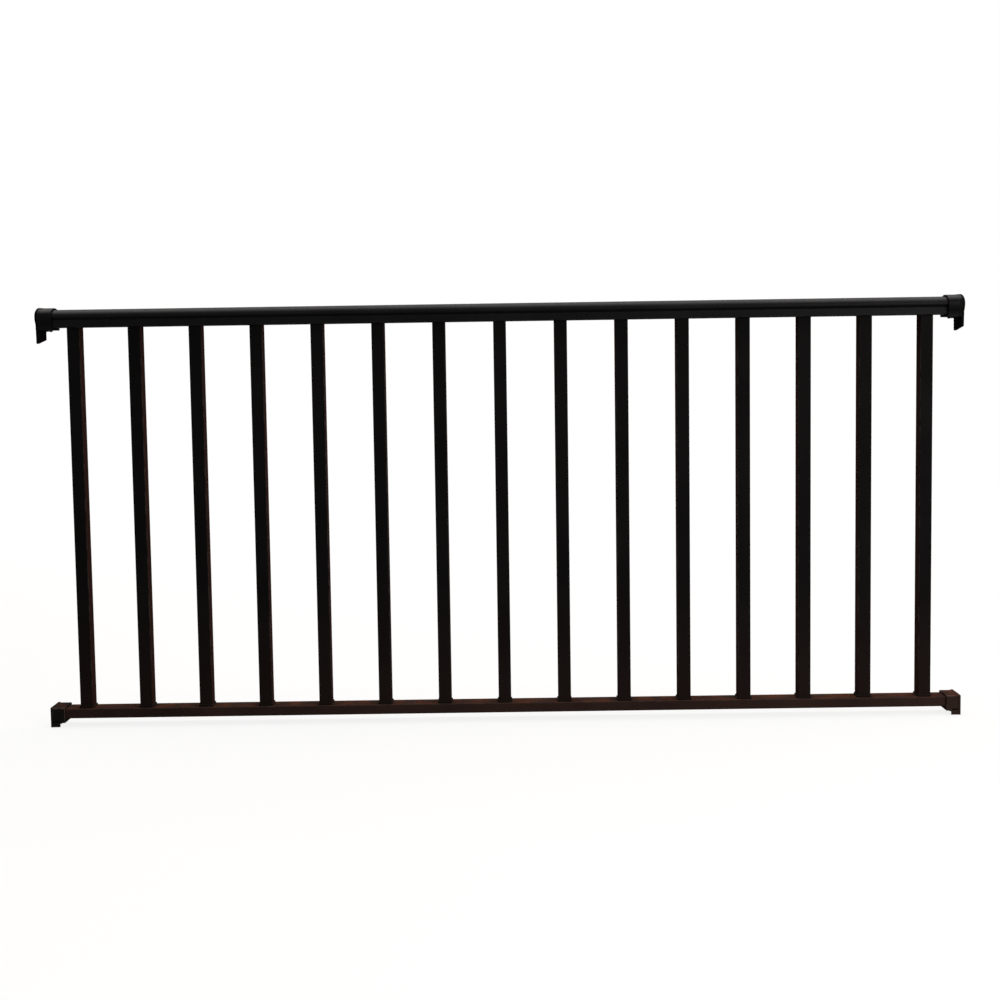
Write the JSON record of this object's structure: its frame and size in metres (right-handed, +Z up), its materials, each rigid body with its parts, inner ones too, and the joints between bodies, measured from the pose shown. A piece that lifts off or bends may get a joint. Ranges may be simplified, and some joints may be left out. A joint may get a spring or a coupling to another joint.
{
  "type": "handrail panel",
  "caption": "Straight railing panel with an oval handrail on square balusters over a bottom channel, and cast sockets at the corners that screw to posts.",
  "frame": {"origin": "on the lower left bracket's back face, which lies against the left post, in the middle of the panel's thickness and level with the underside of the bottom rail", "axes": "+X along the panel from the left post to the right one as seen from the front, -Y out of the front, +Z up"},
  "size_m": [1.8288, 0.0568, 0.8416],
  "materials": {
    "handrail": "satin",
    "bottom_rail": "satin",
    "balusters": "satin",
    "top_brackets": "satin",
    "bottom_brackets": "satin",
    "boots": "matte"
  },
  "bodies": {
    "root": {"top_rail_cap": "handrail", "top_rail_body": "handrail", "bottom_rail": "bottom_rail", "baluster_01": "balusters", "baluster_02": "balusters", "baluster_03": "balusters", "baluster_04": "balusters", "baluster_05": "balusters", "baluster_06": "balusters", "baluster_07": "balusters", "baluster_08": "balusters", "baluster_09": "balusters", "baluster_10": "balusters", "baluster_11": "balusters", "baluster_12": "balusters", "baluster_13": "balusters", "baluster_14": "balusters", "baluster_15": "balusters", "baluster_boot_01": "boots", "baluster_boot_02": "boots", "baluster_boot_03": "boots", "baluster_boot_04": "boots", "baluster_boot_05": "boots", "baluster_boot_06": "boots", "baluster_boot_07": "boots", "baluster_boot_08": "boots", "baluster_boot_09": "boots", "baluster_boot_10": "boots", "baluster_boot_11": "boots", "baluster_boot_12": "boots", "baluster_boot_13": "boots", "baluster_boot_14": "boots", "baluster_boot_15": "boots", "left_top_bracket": "top_brackets", "right_top_bracket": "top_brackets", "left_bottom_bracket": "bottom_brackets", "right_bottom_bracket": "bottom_brackets"}
  },
  "joints": []
}
